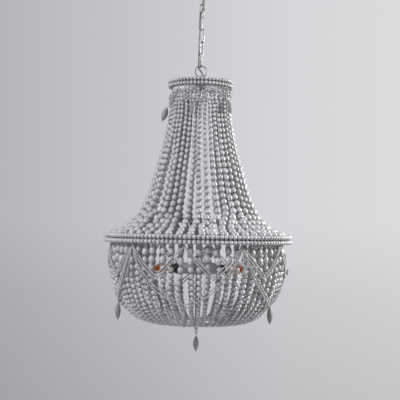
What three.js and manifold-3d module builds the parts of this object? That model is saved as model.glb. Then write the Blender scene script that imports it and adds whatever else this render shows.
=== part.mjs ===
// A beaded chandelier that hangs on a chain from a ceiling fitting.
// Millimetres, +Z up. The origin is on the ceiling, at the middle of the bracket's top face.
import * as THREE from "three";
import { mergeVertices } from "three/addons/utils/BufferGeometryUtils.js";
import Module from "manifold-3d";

const wasm = await Module();
wasm.setup();

// Clearances
const gap = 0.3;
const overrun = 2;
const mergeDistance = 1e-4;

// Ceiling bracket, cup and loop
const bracketLength = 100;
const bracketWidth = 24;
const bracketThickness = 3;
const bracketSlotInset = 14;
const bracketSlotLength = 12;
const bracketSlotWidth = 5;
const nutAcross = 15;
const nutHeight = 10;
const canopyReach = 10;
const canopyRadius = bracketLength / 2 + canopyReach;
const canopyHeight = 35;
const canopyWall = 1.4;
const canopyShares = [
  [1, 0],
  [1, 0.24],
  [0.86, 0.76],
  [0.46, 1],
];
const studRadius = 4;
const collarRadius = 8;
const collarHeight = 6.2;
const loopWire = 5;
const loopRadius = 9.5;
const grommetReach = 17;
const grommetFlangeRadius = 6.5;
const grommetBodyRadius = 4.8;
const grommetFlangeHeight = 2.2;
const grommetBodyHeight = 3;
const blockLength = 24;
const blockWidth = 16;
const blockHeight = 12;
const blockInset = 18;
const blockReach = bracketLength / 2 - blockInset;
const blockEntryOffset = -8;

// Chain and ring
const linkCount = 6;
const linkWire = 3.8;
const linkInnerLength = 40;
const linkInnerWidth = 10.4;
const linkCorner = 5;
const linkCornerShares = [0, 0.5, 1];
const linkTurns = [90, 0, 90, 0, 50, 100];
const ringWire = 3.8;
const ringRadius = 18.1;

// Stem, its loop and its nut
const stemLoopWire = 4;
const stemLoopRadius = 8;
const stemLoopCollarRadius = 7;
const stemLoopCollarHeight = 6;
const stemLoopStudLength = 14;
const stemRadius = 5;
const stemWall = 1;
const stemNutAcross = 17;
const stemNutHeight = 6;
const stemNutFloor = 2;

// Supply cord
const cordRadius = 2.8;
const cordHoleRadius = 3.6;
const cordReach = 13;
const cordSides = 6;

// Crown
const crownRadius = 105;
const crownBead = 12.5;
const crownDropFromLoop = 0.4;
const crownBandHeight = 22;
const bandWall = 2;

// Hoop
const hoopRadius = 300;
const hoopBead = 15;
const hoopDrop = 491.5;
const hoopBandHeight = 26;
const flangeWidth = 21;
const flangeThickness = 2;

// Hubs and spokes
const hubRadius = 20;
const hubThickness = 3;
const spokeWidth = 7;
const crownSpokes = 3;
const hoopSpokes = 5;
const baseSpokes = 3;

// Base
const baseRadius = 92;
const baseDrop = 267;
const baseRingWidth = 6;
const baseRingHeight = 4;

// Bead strands, in panels that are bound on one wire each
const panelCount = 5;
const panelAzimuth = -8;
const binderWire = 3.2;
const binderSides = 4;
const strandFillShare = 0.93;
const coneStrands = 10;
const coneBead = 22.8;
const coneFootInset = 31;
const coneFootRise = 12.6;
const coneShares = [
  [0, 0, 0.064],
  [0.016, 0, 0.417],
  [0.109, 0.004, 0.474],
  [0.278, 0.06, 0.627],
  [0.611, 0.276, 0.82],
  [0.844, 0.498, 0.95],
  [0.957, 0.767, 1],
  [1, 1, 1],
];
const basketStrands = 12;
const basketBead = 22;
const basketTopInset = 33;
const basketFootShare = 0.432;
const basketShares = [
  [0, 1, 0.072],
  [0.03, 0.992, 0.72],
  [0.18, 1.012, 1],
  [0.44, 0.991, 0.845],
  [0.74, 0.83, 0.73],
  [0.93, 0.523, 0.58],
  [1, 0, basketFootShare],
];

// Swags of small double bead strings, drawn as one string each
const swagRadius = 3.2;
const swagEndRadius = 1.2;
const swagSides = 4;
const swagStandOff = 2;
const swagKnotRadius = 5;
const deepSwagSag = 179;
const deepSwagSteps = 20;
const shallowSwagSag = 92;
const shallowSwagSteps = 6;
const basketKnotDrop = 5.6;
const crownKnotAzimuths = [-45, 20, 86, 171, 250];
const crownSwagSags = [41, 26, 41, 41, 50];
const crownSwagSteps = 6;
const crownKnotDrop = 7.5;

// Oval drops
const dropThreadRadius = 0.9;
const dropSeat = 3.2;
const dropSides = 6;
const dropSteps = 5;
const basketDropLength = 54;
const basketDropRadius = 9;
const basketDropThread = 2;
const crownDropLength = 48;
const crownDropRadius = 9.5;
const crownDropThread = 4;
const crownDropLean = 19;
const crownDropStandOff = 2.5;
const tasselDropLength = 36;
const tasselDropRadius = 6.5;
const tasselThread = 55;
const tasselThreadRadius = 1.8;
const tasselDrop = 5.6;
const tasselStandOff = 2;
const tasselLean = 8;
const finialBigBeadRadius = 8;
const finialSmallBeadRadius = 4.5;
const finialEyeRadius = 2.4;
const finialEyeWire = 1.4;
const finialDropThread = 1.5;
const finialDropLength = 50;
const finialDropRadius = 9.3;

// Lamps, lying level
const lampCount = 3;
const lampAzimuth = 64;
const lampDrop = 94;
const clusterRadius = 24;
const clusterHeight = 40;
const cupRadius = 18;
const cupStart = 20;
const cupEnd = 80;
const holderRadius = 13.5;
const holderStart = 58;
const holderEnd = 101;
const holderBoreDepth = 26;
const bulbCapRadius = 7;
const bulbCapLength = 24;
const bulbRadius = 17.5;
const bulbGlassLength = 75;
const bulbShares = [
  [0.5, 0],
  [0.83, 0.14],
  [1, 0.32],
  [0.93, 0.5],
  [0.66, 0.72],
  [0.3, 0.9],
  [0, 1],
];

// Facets
const wireSides = 6;
const ringSteps = 20;
const eyeSteps = 10;
const canopySides = 24;
const hubSides = 16;
const crownSides = 28;
const hoopSides = 40;
const roundSides = 12;

// Heights, worked out from the ceiling down
const canopyFaceZ = -canopyHeight;
const loopTopZ = canopyFaceZ - collarHeight;
const loopCentreZ = loopTopZ - loopRadius;
const loopBottomZ = loopCentreZ - loopRadius;
const linkReach = linkInnerLength + linkWire;
const linkPitch = linkReach - linkWire - gap;
const firstLinkTopZ = loopBottomZ + (loopWire + linkWire) / 2 + gap;
const lastLinkBottomZ = firstLinkTopZ - (linkCount - 1) * linkPitch - linkReach;
const ringTopZ = lastLinkBottomZ + (linkWire + ringWire) / 2 + gap;
const ringCentreZ = ringTopZ - ringRadius;
const ringBottomZ = ringCentreZ - ringRadius;
const stemLoopTopZ = ringBottomZ + (ringWire + stemLoopWire) / 2 + gap;
const stemLoopCentreZ = stemLoopTopZ - stemLoopRadius;
const stemLoopBottomZ = stemLoopCentreZ - stemLoopRadius;
const stemTopZ = stemLoopBottomZ - stemLoopCollarHeight - gap;
const crownTopZ = stemLoopBottomZ - crownDropFromLoop;
const crownMidZ = crownTopZ - crownBead - gap / 2;
const crownBandRadius = crownRadius - crownBead - gap;
const crownBandFootZ = crownMidZ - crownBandHeight / 2;
const hoopMidZ = crownMidZ - hoopDrop;
const hoopBandRadius = hoopRadius - hoopBead - gap;
const hoopFootZ = hoopMidZ - hoopBead - gap / 2;
const hoopBandFootZ = hoopMidZ - hoopBandHeight / 2;
const flangeTopZ = hoopMidZ + flangeThickness / 2;
const flangeFootZ = hoopMidZ - flangeThickness / 2;
const baseMidZ = hoopMidZ - baseDrop;
const lampZ = hoopMidZ - lampDrop;
const clusterTopZ = lampZ + clusterHeight / 2;
const stemNutTopZ = baseMidZ - hubThickness / 2 - gap;
const stemNutFootZ = stemNutTopZ - stemNutHeight;
const stemFootZ = stemNutFootZ + stemNutFloor + gap;

// Strand ends
const coneTopRadius = crownBandRadius - bandWall / 2;
const coneTopZ = crownBandFootZ - gap - binderWire / 2;
const coneFootZ = flangeTopZ + coneFootRise;
const basketTopZ = flangeFootZ - gap - binderWire / 2;
const basketFootZ = baseMidZ;
const baseFrameRadius = baseRadius - (basketBead * basketFootShare) / 2 - gap;
const basketKnotZ = hoopFootZ - basketKnotDrop;
const crownKnotZ = crownMidZ - crownBead - gap / 2 - crownKnotDrop;

// Cord route, chosen by hand: down through the chain and the ring, then beside the stem
const cordPoints = [
  [blockReach + blockEntryOffset, 0, -16],
  [21, 0, -24],
  [17.4, 0, -31],
  [17, 0, -40],
  [14, -3, -54],
  [9, -6.2, -68],
  [6.6, -7, -82],
  [5.6, -6.7, -96],
  [5, -5.8, -104],
  [0, 0, -117],
  [-5, 5.8, -130],
  [-5.6, 6.7, -139],
  [-6, 7, -155],
  [-6, 7, -195],
  [-6.4, 6.2, -220],
  [-7, 5.4, -245],
  [-7.2, 5.6, -290],
  [-6.2, 5.4, -301],
  [0, 0, -312],
  [4.8, -5.2, -321],
  [8.4, -6.4, -331],
  [8.4, -9.4, -338],
  [5, -12.2, -346],
  [0, -cordReach, -354],
];

// Materials
function finish(color, roughness, metalness) {
  return new THREE.MeshStandardMaterial({ color, roughness, metalness });
}
const steel = finish(0x9a9a9e, 0.35, 0.9);
const greyPaint = finish(0x8f8f92, 0.55, 0.2);
const wood = finish(0xa3a1a1, 0.75, 0);
const plastic = finish(0x1c1c1e, 0.5, 0);
const cordCover = finish(0x77786f, 0.7, 0);
const amberGlass = finish(0xc8701c, 0.1, 0);

// Solids from geometries, and back
function toSolid(geometry) {
  const bare = geometry.clone();
  bare.deleteAttribute("normal");
  bare.deleteAttribute("uv");
  const merged = mergeVertices(bare, mergeDistance);
  return new wasm.Manifold(
    new wasm.Mesh({
      numProp: 3,
      vertProperties: merged.attributes.position.array,
      triVerts: new Uint32Array(merged.index.array),
    }),
  );
}

function toGeometry(solid) {
  const mesh = solid.getMesh();
  const geometry = new THREE.BufferGeometry();
  geometry.setAttribute("position", new THREE.BufferAttribute(new Float32Array(mesh.vertProperties), 3));
  geometry.setIndex(new THREE.BufferAttribute(new Uint32Array(mesh.triVerts), 1));
  geometry.computeVertexNormals();
  return geometry;
}

function join(...geometries) {
  return toGeometry(geometries.map(toSolid).reduce((whole, piece) => whole.add(piece)));
}

function cut(geometry, ...tools) {
  return toGeometry(tools.map(toSolid).reduce((whole, tool) => whole.subtract(tool), toSolid(geometry)));
}

// Basic shapes
function radians(degrees) {
  return THREE.MathUtils.degToRad(degrees);
}

// The angle from +X of an azimuth counted from the front, towards +X
function turnOf(azimuth) {
  return radians(azimuth - 90);
}

function bar(x, y, z, at) {
  return new THREE.BoxGeometry(x, y, z).translate(...at);
}

function rod(radius, topZ, footZ, sides, x = 0, y = 0) {
  return new THREE.CylinderGeometry(radius, radius, topZ - footZ, sides)
    .rotateX(Math.PI / 2)
    .translate(x, y, (topZ + footZ) / 2);
}

// A body turned round the Z axis; its outline of radius and height runs upwards
function turned(outline, sides) {
  return new THREE.LatheGeometry(
    outline.map(([r, z]) => new THREE.Vector2(r, z)),
    sides,
  ).rotateX(Math.PI / 2);
}

function tubeRing(innerRadius, outerRadius, topZ, footZ, sides) {
  return turned(
    [
      [innerRadius, footZ],
      [outerRadius, footZ],
      [outerRadius, topZ],
      [innerRadius, topZ],
      [innerRadius, footZ],
    ],
    sides,
  );
}

// A closed skin over rings of points, one ring after another, with flat ends unless it closes on itself
function skin(rings, closed = false) {
  const count = rings[0].length;
  const total = rings.length * count;
  const last = total - count;
  const faces = [];
  for (let i = 0; i < (closed ? total : last); i += count) {
    for (let j = 0; j < count; j++) {
      const a = i + j;
      const b = i + ((j + 1) % count);
      faces.push(a, b, (b + count) % total, a, (b + count) % total, (a + count) % total);
    }
  }
  for (let j = 1; !closed && j + 1 < count; j++) {
    faces.push(0, j + 1, j, last, last + j, last + j + 1);
  }
  const geometry = new THREE.BufferGeometry().setFromPoints(rings.flat());
  geometry.setIndex(faces);
  geometry.computeVertexNormals();
  return geometry;
}

// Directions that a wire's section starts from
const yAxis = new THREE.Vector3(0, 1, 0);
const zAxis = new THREE.Vector3(0, 0, 1);
const steepShare = 0.95;

// A round wire through points, with a radius at each
function wire(points, radii, sides, closed = false) {
  const count = points.length;
  const at = (i) => points[closed ? (i + count) % count : Math.min(Math.max(i, 0), count - 1)];
  const normal = new THREE.Vector3();
  const rings = points.map((point, i) => {
    const along = at(i + 1).clone().sub(at(i - 1)).normalize();
    if (i === 0) {
      normal.copy(Math.abs(along.z) > steepShare ? yAxis : zAxis);
    }
    normal.addScaledVector(along, -normal.dot(along)).normalize();
    const side = along.clone().cross(normal);
    return Array.from({ length: sides }, (_, j) => {
      const angle = (2 * Math.PI * (j + 0.5)) / sides;
      return point
        .clone()
        .addScaledVector(normal, radii[i] * Math.cos(angle))
        .addScaledVector(side, radii[i] * Math.sin(angle));
    });
  });
  return skin(rings, closed);
}

function eye(radius, wire, z, turn, steps) {
  return new THREE.TorusGeometry(radius, wire / 2, wireSides, steps)
    .rotateX(Math.PI / 2)
    .rotateZ(turn)
    .translate(0, 0, z);
}

// Strand lines: radius, height and bead size at each point, from the top down
function lineOf(shares, top, foot, bead) {
  return shares.map(([down, out, size]) => ({
    r: foot.r + (top.r - foot.r) * out,
    z: top.z + (foot.z - top.z) * down,
    size: bead * size,
  }));
}

const coneLine = lineOf(
  coneShares.map(([down, out, size]) => [down, 1 - out, size]),
  { r: coneTopRadius, z: coneTopZ },
  { r: hoopRadius - coneFootInset, z: coneFootZ },
  coneBead,
);
const basketLine = lineOf(
  basketShares,
  { r: hoopRadius - basketTopInset, z: basketTopZ },
  { r: baseRadius, z: basketFootZ },
  basketBead,
);

// The outward direction of a strand line at one of its points
function outwardAt(line, i) {
  const before = line[Math.max(i - 1, 0)];
  const after = line[Math.min(i + 1, line.length - 1)];
  const along = new THREE.Vector2(after.r - before.r, after.z - before.z).normalize();
  return { r: -along.y, z: along.x };
}

// The radius just outside a strand line at a height
function outsideAt(line, z) {
  const edge = line.map((p, i) => {
    const out = outwardAt(line, i);
    return { r: p.r + (out.r * p.size) / 2, z: p.z + (out.z * p.size) / 2 };
  });
  const below = Math.max(
    edge.findIndex((p) => p.z <= z),
    1,
  );
  const a = edge[below - 1];
  const b = edge[below];
  return THREE.MathUtils.mapLinear(z, a.z, b.z, a.r, b.r);
}

// One strand, standing at an angle round the axis
function strand(line, angle, spacing) {
  const around = new THREE.Vector3(-Math.sin(angle), Math.cos(angle), 0);
  const outward = new THREE.Vector3(Math.cos(angle), Math.sin(angle), 0);
  const rings = line.map((p, i) => {
    const out = outwardAt(line, i);
    const centre = outward.clone().multiplyScalar(p.r).setZ(p.z);
    const normal = outward.clone().multiplyScalar(out.r).setZ(out.z);
    const half = Math.min(p.size, spacing * p.r * strandFillShare) / 2;
    return [
      centre.clone().addScaledVector(around, half),
      centre.clone().addScaledVector(normal, p.size / 2),
      centre.clone().addScaledVector(around, -half),
      centre.clone().addScaledVector(normal, -p.size / 2),
    ];
  });
  return skin(rings);
}

// A panel of strands on its binding wire, the first half a spacing from the panel's edge
function panel(line, strandCount) {
  const spacing = (2 * Math.PI) / (panelCount * strandCount);
  const angles = Array.from({ length: strandCount }, (_, i) => (i + 0.5) * spacing);
  const top = line[0];
  const arc = angles.map((a) => new THREE.Vector3(top.r * Math.cos(a), top.r * Math.sin(a), top.z));
  const binder = wire(arc, arc.map(() => binderWire / 2), binderSides);
  return join(binder, ...angles.map((a) => strand(line, a, spacing)));
}

// A point on a swag, lying just outside a strand line
function swagPoint(line, angle, z) {
  const r = outsideAt(line, z) + swagRadius + swagStandOff;
  return new THREE.Vector3(r * Math.cos(angle), r * Math.sin(angle), z);
}

// A swag between two knots at one height
function swag(place, knotZ, sag, fromAngle, toAngle, steps, shape) {
  const points = [];
  for (let i = 0; i <= steps; i++) {
    const share = i / steps;
    const z = knotZ - sag * (1 - shape(Math.abs(2 * share - 1)));
    points.push(place(fromAngle + (toAngle - fromAngle) * share, z));
  }
  const radii = points.map((_, i) => (i % steps === 0 ? swagEndRadius : swagRadius));
  return wire(points, radii, swagSides);
}

// A knot between swags, on a thread from the row of beads above it
function knot(at, tiedZ) {
  return join(
    new THREE.OctahedronGeometry(swagKnotRadius).translate(at.x, at.y, at.z),
    rod(dropThreadRadius, tiedZ, at.z, binderSides, at.x, at.y),
  );
}

// How high a swag lies above its low point, as a share of its sag, against its distance from there
function deepShape(share) {
  return (share + share ** 4) / 2;
}

function shallowShape(share) {
  return (4 * share + share ** 2) / 5;
}

// An oval drop that hangs at the origin on its thread
function ovalDrop(length, radius, thread, threadRadius) {
  const outline = [[0, -thread - length]];
  for (let i = 1; i < dropSteps; i++) {
    const angle = (Math.PI * i) / dropSteps;
    outline.push([radius * Math.sin(angle), -thread - (length * (1 + Math.cos(angle))) / 2]);
  }
  outline.push([threadRadius, -thread], [threadRadius, 0], [0, 0]);
  return turned(outline, dropSides);
}

const chandelier = new THREE.Group();

function add(name, geometry, material, parent = chandelier) {
  const mesh = new THREE.Mesh(geometry, material);
  mesh.name = name;
  parent.add(mesh);
  return mesh;
}

// Ceiling bracket: a strap with two screw slots and a welded nut under its middle
{
  const strap = bar(bracketLength, bracketWidth, bracketThickness, [0, 0, -bracketThickness / 2]);
  const nutFootZ = -bracketThickness - nutHeight;
  const nut = rod(nutAcross / 2, -bracketThickness / 2, nutFootZ, wireSides);
  const thread = rod(studRadius + gap, -bracketThickness, nutFootZ - overrun, roundSides);
  const slots = [-1, 1].map((side) =>
    bar(bracketSlotLength, bracketSlotWidth, bracketThickness + 2 * overrun, [
      side * (bracketLength / 2 - bracketSlotInset),
      0,
      -bracketThickness / 2,
    ]),
  );
  add("ceiling_bracket", cut(join(strap, nut), thread, ...slots), steel);
}

// Canopy cup: a spun shell with holes for the loop's stud and the cord's bush
{
  const outer = canopyShares.map(([r, z]) => [r * canopyRadius, -z * canopyHeight]);
  const inner = canopyShares.map(([r, z]) => [
    r * (canopyRadius - canopyWall),
    -z * (canopyHeight - canopyWall),
  ]);
  const holeRadius = studRadius + gap;
  const outline = [
    [holeRadius, canopyFaceZ],
    ...outer.reverse(),
    ...inner,
    [holeRadius, canopyFaceZ + canopyWall],
    [holeRadius, canopyFaceZ],
  ];
  const holeTopZ = canopyFaceZ + canopyWall + overrun;
  const bushRadius = grommetBodyRadius + gap;
  const bushHole = rod(bushRadius, holeTopZ, canopyFaceZ - overrun, roundSides, grommetReach);
  add("canopy_cup", cut(turned(outline, canopySides), bushHole), steel);
}

// Canopy loop: an eye under a collar, with the stud that holds the cup to the bracket
{
  const loop = join(
    eye(loopRadius, loopWire, loopCentreZ, 0, ringSteps),
    rod(collarRadius, canopyFaceZ - gap, loopTopZ, roundSides),
    rod(studRadius, -bracketThickness - gap, loopTopZ, roundSides),
  );
  add("canopy_loop", loop, steel);
}

// Cord bush in the cup
{
  const bore = cordRadius + gap;
  const flangeTop = canopyFaceZ - gap;
  const flangeFoot = flangeTop - grommetFlangeHeight;
  const bodyTop = flangeTop + grommetBodyHeight;
  const bush = turned(
    [
      [bore, flangeFoot],
      [grommetFlangeRadius, flangeFoot],
      [grommetFlangeRadius, flangeTop],
      [grommetBodyRadius, flangeTop],
      [grommetBodyRadius, bodyTop],
      [bore, bodyTop],
      [bore, flangeFoot],
    ],
    roundSides,
  );
  add("cord_grommet", bush, plastic).position.x = grommetReach;
}

// Terminal block under the bracket, where the cord ends
{
  const blockZ = -bracketThickness - gap - blockHeight / 2;
  const block = bar(blockLength, blockWidth, blockHeight, [0, 0, blockZ]);
  const entry = rod(cordRadius + gap, blockZ, blockZ - blockHeight, roundSides, blockEntryOffset);
  add("terminal_block", cut(block, entry), plastic).position.x = blockReach;
}

// Chain of bent wire links, each turned against the one above
{
  const x = (linkInnerWidth + linkWire) / 2 - linkCorner;
  const z = linkReach / 2 - linkCorner;
  const corners = [
    [x, z],
    [-x, z],
    [-x, -z],
    [x, -z],
  ];
  const points = corners.flatMap(([cx, cz], i) =>
    linkCornerShares.map((share) => {
      const angle = (Math.PI * (i + share)) / 2;
      return new THREE.Vector3(cx + linkCorner * Math.cos(angle), 0, cz + linkCorner * Math.sin(angle));
    }),
  );
  const geometry = wire(points, points.map(() => linkWire / 2), wireSides, true);
  linkTurns.forEach((turn, i) => {
    const link = add(`chain_link_${i + 1}`, geometry, steel);
    link.position.z = firstLinkTopZ - i * linkPitch - linkReach / 2;
    link.rotation.z = radians(turn);
  });
}

// Hanging ring
add("hanging_ring", eye(ringRadius, ringWire, 0, 0, ringSteps), steel).position.z = ringCentreZ;

// Supply cord
{
  const points = [...cordPoints, [0, -cordReach, clusterTopZ + gap]].map((p) => new THREE.Vector3(...p));
  add("supply_cord", wire(points, points.map(() => cordRadius), cordSides), cordCover);
}

// Stem with its loop and nut
{
  const loop = join(
    eye(stemLoopRadius, stemLoopWire, stemLoopCentreZ, Math.PI / 2, ringSteps),
    rod(stemLoopCollarRadius, stemLoopBottomZ, stemTopZ + gap, roundSides),
    rod(stemRadius - stemWall - gap, stemLoopBottomZ, stemTopZ - stemLoopStudLength, roundSides),
  );
  add("stem_loop", loop, steel);
  add("stem", tubeRing(stemRadius - stemWall, stemRadius, stemTopZ, stemFootZ, roundSides), steel);
  const pocket = rod(stemRadius + gap, stemNutTopZ + overrun, stemNutFootZ + stemNutFloor, roundSides);
  const nut = rod(stemNutAcross / 2, stemNutTopZ, stemNutFootZ, wireSides);
  add("stem_nut", cut(nut, pocket), steel);
}

// A hub plate with a hole for the stem and one for the cord, and spokes out to a radius
function wheel(z, reach, spokeCount) {
  const spokes = Array.from({ length: spokeCount }, (_, i) =>
    bar(reach - hubRadius / 2, spokeWidth, hubThickness, [(reach + hubRadius / 2) / 2, 0, z]).rotateZ(
      turnOf(panelAzimuth + ((i + 0.5) * 360) / spokeCount),
    ),
  );
  const hub = rod(hubRadius, z + hubThickness / 2, z - hubThickness / 2, hubSides);
  const top = z + hubThickness + overrun;
  const foot = z - hubThickness - overrun;
  const stemHole = rod(stemRadius + gap, top, foot, roundSides);
  const cordHole = rod(cordHoleRadius, top, foot, roundSides, 0, -cordReach);
  return cut(join(hub, ...spokes), stemHole, cordHole);
}

// Crown frame
{
  const inner = crownBandRadius - bandWall;
  const bandTopZ = crownBandFootZ + crownBandHeight;
  const band = tubeRing(inner, crownBandRadius, bandTopZ, crownBandFootZ, crownSides);
  add("crown_frame", join(band, wheel(crownMidZ, inner + bandWall / 2, crownSpokes)), greyPaint);
}

// Hoop frame: a band with an inner flange that the strands are tied to
{
  const bandTopZ = hoopMidZ + hoopBandHeight / 2;
  const inner = hoopBandRadius - bandWall;
  const section = [
    [inner - flangeWidth, flangeFootZ],
    [inner, flangeFootZ],
    [inner, hoopBandFootZ],
    [hoopBandRadius, hoopBandFootZ],
    [hoopBandRadius, bandTopZ],
    [inner, bandTopZ],
    [inner, flangeTopZ],
    [inner - flangeWidth, flangeTopZ],
    [inner - flangeWidth, flangeFootZ],
  ];
  const reach = inner - flangeWidth / 2;
  add("hoop_frame", join(turned(section, hoopSides), wheel(hoopMidZ, reach, hoopSpokes)), greyPaint);
}

// Base frame
{
  const inner = baseFrameRadius - baseRingWidth;
  const half = baseRingHeight / 2;
  const ring = tubeRing(inner, baseFrameRadius, baseMidZ + half, baseMidZ - half, crownSides);
  add("base_frame", join(ring, wheel(baseMidZ, inner + baseRingWidth / 2, baseSpokes)), greyPaint);
}

// Closed rows of beads, wired round the bands
function row(name, radius, bead, z, steps) {
  const ring = new THREE.TorusGeometry(radius - bead / 2, bead / 2, wireSides, steps);
  add(name, ring, wood).position.z = z;
}
row("crown_beads_upper", crownRadius, crownBead, crownMidZ + (crownBead + gap) / 2, crownSides);
row("crown_beads_lower", crownRadius, crownBead, crownMidZ - (crownBead + gap) / 2, crownSides);
row("hoop_beads_upper", hoopRadius, hoopBead, hoopMidZ + (hoopBead + gap) / 2, hoopSides);
row("hoop_beads_lower", hoopRadius, hoopBead, hoopMidZ - (hoopBead + gap) / 2, hoopSides);

// Panels of strands
{
  const conePanel = panel(coneLine, coneStrands);
  const basketPanel = panel(basketLine, basketStrands);
  for (let i = 0; i < panelCount; i++) {
    const turn = turnOf(panelAzimuth + (i * 360) / panelCount);
    add(`cone_strands_${i + 1}`, conePanel, wood).rotation.z = turn;
    add(`basket_strands_${i + 1}`, basketPanel, wood).rotation.z = turn;
  }
}

// Swags: low points stand at the panels' edges, and main knots half-way between them
const sector = (2 * Math.PI) / panelCount;
const firstLow = turnOf(panelAzimuth);
const onBasket = (angle, z) => swagPoint(basketLine, angle, z);
const onCone = (angle, z) => swagPoint(coneLine, angle, z);
{
  const pieces = [];
  for (let i = 0; i < panelCount; i++) {
    const main = firstLow + (i + 0.5) * sector;
    pieces.push(swag(onBasket, basketKnotZ, deepSwagSag, main, main + sector, deepSwagSteps, deepShape));
    for (const start of [main, main + sector / 2]) {
      const end = start + sector / 2;
      const string = swag(onBasket, basketKnotZ, shallowSwagSag, start, end, shallowSwagSteps, shallowShape);
      pieces.push(string, knot(onBasket(start, basketKnotZ), flangeFootZ - gap));
    }
  }
  add("basket_swags", join(...pieces), wood);
}
// Crown swags hang less evenly, each from its own knot to the next one's
const crownSwagList = crownSwagSags.map((sag, i) => {
  const from = turnOf(crownKnotAzimuths[i]);
  const lap = i + 1 < panelCount ? 0 : 2 * Math.PI;
  const to = turnOf(crownKnotAzimuths[(i + 1) % panelCount]) + lap;
  return { from, to, sag, low: (from + to) / 2 };
});
{
  const pieces = crownSwagList.flatMap(({ from, to, sag }) => [
    swag(onCone, crownKnotZ, sag, from, to, crownSwagSteps, shallowShape),
    knot(onCone(from, crownKnotZ), crownKnotZ + crownKnotDrop),
  ]);
  add("crown_swags", join(...pieces), wood);
}

// Drops, each hanging from its own place on the swags
function hang(name, geometry, at, standOff, lean) {
  const arm = new THREE.Group();
  arm.rotation.z = Math.atan2(at.y, at.x);
  chandelier.add(arm);
  const drop = add(name, geometry, wood, arm);
  drop.position.set(Math.hypot(at.x, at.y) + standOff, 0, at.z);
  drop.rotation.y = -radians(lean);
}
{
  const basketDrop = ovalDrop(basketDropLength, basketDropRadius, basketDropThread, dropThreadRadius);
  const crownDrop = ovalDrop(crownDropLength, crownDropRadius, crownDropThread, dropThreadRadius);
  const tassel = ovalDrop(tasselDropLength, tasselDropRadius, tasselThread, tasselThreadRadius);
  for (let i = 0; i < panelCount; i++) {
    const low = firstLow + i * sector;
    const basketPlace = onBasket(low, basketKnotZ - deepSwagSag);
    basketPlace.z -= dropSeat;
    hang(`basket_drop_${i + 1}`, basketDrop, basketPlace, 0, 0);
    const crownPlace = onCone(crownSwagList[i].low, crownKnotZ - crownSwagList[i].sag);
    crownPlace.z -= dropSeat;
    hang(`crown_drop_${i + 1}`, crownDrop, crownPlace, crownDropStandOff, crownDropLean);
    const tasselPlace = onBasket(low + sector / 2, basketKnotZ - tasselDrop);
    hang(`tassel_drop_${i + 1}`, tassel, tasselPlace, tasselStandOff, tasselLean);
  }
}

// Finial: two beads and a wire eye under the base, and the drop that hangs in the eye
{
  const bigZ = stemNutFootZ - gap - finialBigBeadRadius;
  const smallZ = bigZ - finialBigBeadRadius - finialSmallBeadRadius + gap;
  const eyeZ = smallZ - finialSmallBeadRadius - finialEyeRadius;
  const bigBead = new THREE.SphereGeometry(finialBigBeadRadius, roundSides, wireSides);
  const beads = join(
    bigBead.rotateX(Math.PI / 2).translate(0, 0, bigZ),
    rod(dropThreadRadius, bigZ, eyeZ + finialEyeRadius, binderSides),
    new THREE.OctahedronGeometry(finialSmallBeadRadius, 1).translate(0, 0, smallZ),
    eye(finialEyeRadius, finialEyeWire, eyeZ, 0, eyeSteps),
  );
  add("finial_beads", beads, wood);
  const hookZ = eyeZ - 2 * finialEyeRadius + finialEyeWire + gap;
  const hook = eye(finialEyeRadius, finialEyeWire, 0, Math.PI / 2, eyeSteps);
  const oval = ovalDrop(finialDropLength, finialDropRadius, finialDropThread, dropThreadRadius);
  const drop = join(hook, oval.translate(0, 0, -finialEyeRadius));
  add("finial_drop", drop, wood).position.z = hookZ;
}

// Lamps: one centre body with level cups, and a holder and a bulb in each
function level(outline) {
  return turned(outline, roundSides).rotateY(Math.PI / 2);
}

const lampTurns = Array.from({ length: lampCount }, (_, i) => turnOf(lampAzimuth + (i * 360) / lampCount));
{
  const pocketRadius = holderRadius + gap;
  const cup = level([
    [0, cupStart],
    [cupRadius, cupStart],
    [cupRadius, cupEnd],
    [pocketRadius, cupEnd],
    [pocketRadius, holderStart - gap],
    [0, holderStart - gap],
  ]);
  const core = rod(clusterRadius, clusterTopZ, clusterTopZ - clusterHeight, hubSides);
  const boreFootZ = clusterTopZ - clusterHeight - overrun;
  const bore = rod(stemRadius + gap, clusterTopZ + overrun, boreFootZ, roundSides);
  const cups = lampTurns.map((turn) => cup.clone().rotateZ(turn).translate(0, 0, lampZ));
  add("lamp_cluster", cut(join(core, ...cups), bore), greyPaint);
}
{
  const boreRadius = bulbCapRadius + 2 * gap;
  const holder = level([
    [0, holderStart],
    [holderRadius, holderStart],
    [holderRadius, holderEnd],
    [boreRadius, holderEnd],
    [boreRadius, holderEnd - holderBoreDepth],
    [0, holderEnd - holderBoreDepth],
  ]);
  const glassStart = holderEnd + gap;
  const bulb = level([
    [0, glassStart - bulbCapLength],
    [bulbCapRadius, glassStart - bulbCapLength],
    [bulbCapRadius, glassStart],
    ...bulbShares.map(([r, out]) => [r * bulbRadius, glassStart + out * bulbGlassLength]),
  ]);
  lampTurns.forEach((turn, i) => {
    const lamp = new THREE.Group();
    lamp.position.z = lampZ;
    lamp.rotation.z = turn;
    chandelier.add(lamp);
    add(`lamp_holder_${i + 1}`, holder, plastic, lamp);
    add(`bulb_${i + 1}`, bulb, amberGlass, lamp);
  });
}

export default chandelier;
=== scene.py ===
import math
import bpy
import numpy as np
from mathutils import Matrix, Vector


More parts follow.
